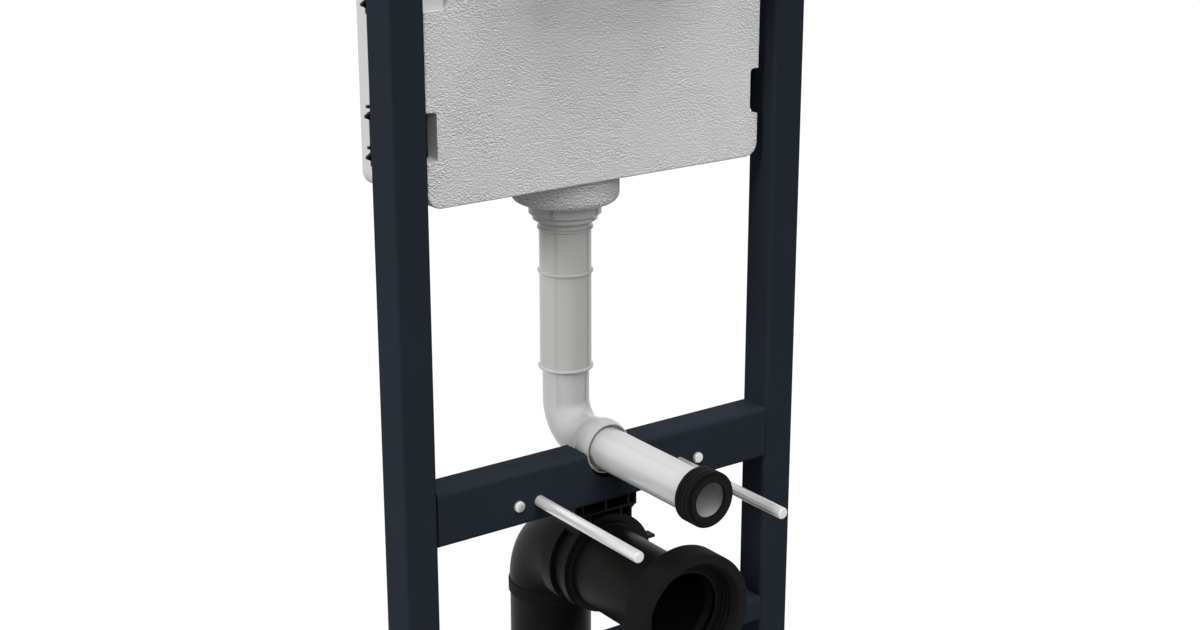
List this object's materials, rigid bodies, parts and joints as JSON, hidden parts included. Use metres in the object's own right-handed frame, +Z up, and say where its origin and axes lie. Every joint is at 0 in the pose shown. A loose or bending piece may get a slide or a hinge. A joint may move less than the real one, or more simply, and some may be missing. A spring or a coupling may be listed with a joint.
{
  "type": "wall hung toilet frame",
  "caption": "Free-standing steel frame with concealed cistern, flush pipe, waste bend and studs for hanging a toilet pan.",
  "frame": {"origin": "on the underside of the left foot plate, on the axis of the left leg", "axes": "+X to the right upright, -Y to the front where the pan hangs, +Y to the wall, +Z up"},
  "size_m": [0.53, 0.3405, 1.123],
  "materials": {
    "navy_steel": "satin dark navy powder coat",
    "zinc_steel": "zinc plated, satin",
    "bright_steel": "bright zinc plated, fine threads",
    "black_plastic": "moulded, satin",
    "black_rubber": "matt",
    "cistern_foam": "moulded foam with a crinkled skin",
    "tank_grey": "smooth blow moulded",
    "cover_white": "smooth moulded",
    "pipe_grey": "smooth moulded",
    "pipe_white": "smooth moulded",
    "inlet_brass": "turned"
  },
  "bodies": {
    "root": {"access_cover": "cover_white", "access_housing": "tank_grey", "base_rail": "navy_steel", "blanking_bolt_left": "bright_steel", "blanking_bolt_right": "bright_steel", "cistern_clip_lower_left": "black_plastic", "cistern_clip_lower_right": "black_plastic", "cistern_clip_upper_left": "black_plastic", "cistern_clip_upper_right": "black_plastic", "cistern_front_shell": "cistern_foam", "cistern_neck": "cistern_foam", "cistern_rear_shell": "cistern_foam", "cistern_tank": "tank_grey", "flush_collar": "pipe_grey", "flush_elbow": "pipe_white", "flush_pipe": "pipe_white", "flush_pipe_sleeve": "pipe_grey", "flush_seal": "black_rubber", "foot_plate_left": "zinc_steel", "foot_plate_right": "zinc_steel", "leg_clamp_bolt_left": "bright_steel", "leg_clamp_bolt_right": "bright_steel", "leg_guide_left": "black_plastic", "leg_guide_right": "black_plastic", "leg_left": "zinc_steel", "leg_right": "zinc_steel", "pan_connector": "black_plastic", "pan_connector_collar": "black_rubber", "pan_rail": "navy_steel", "pan_stud_left": "bright_steel", "pan_stud_right": "bright_steel", "rail_nuts": "bright_steel", "top_cap_left": "black_plastic", "top_cap_right": "black_plastic", "top_rail": "navy_steel", "upright_left": "navy_steel", "upright_right": "navy_steel", "wall_plate_left": "zinc_steel", "wall_plate_right": "zinc_steel", "wall_rod_left": "bright_steel", "wall_rod_nuts": "bright_steel", "wall_rod_right": "bright_steel", "waste_bend": "black_plastic", "waste_clip": "black_plastic", "waste_joint_ring": "black_rubber", "waste_pipe": "black_plastic", "water_inlet": "inlet_brass"}
  },
  "joints": []
}
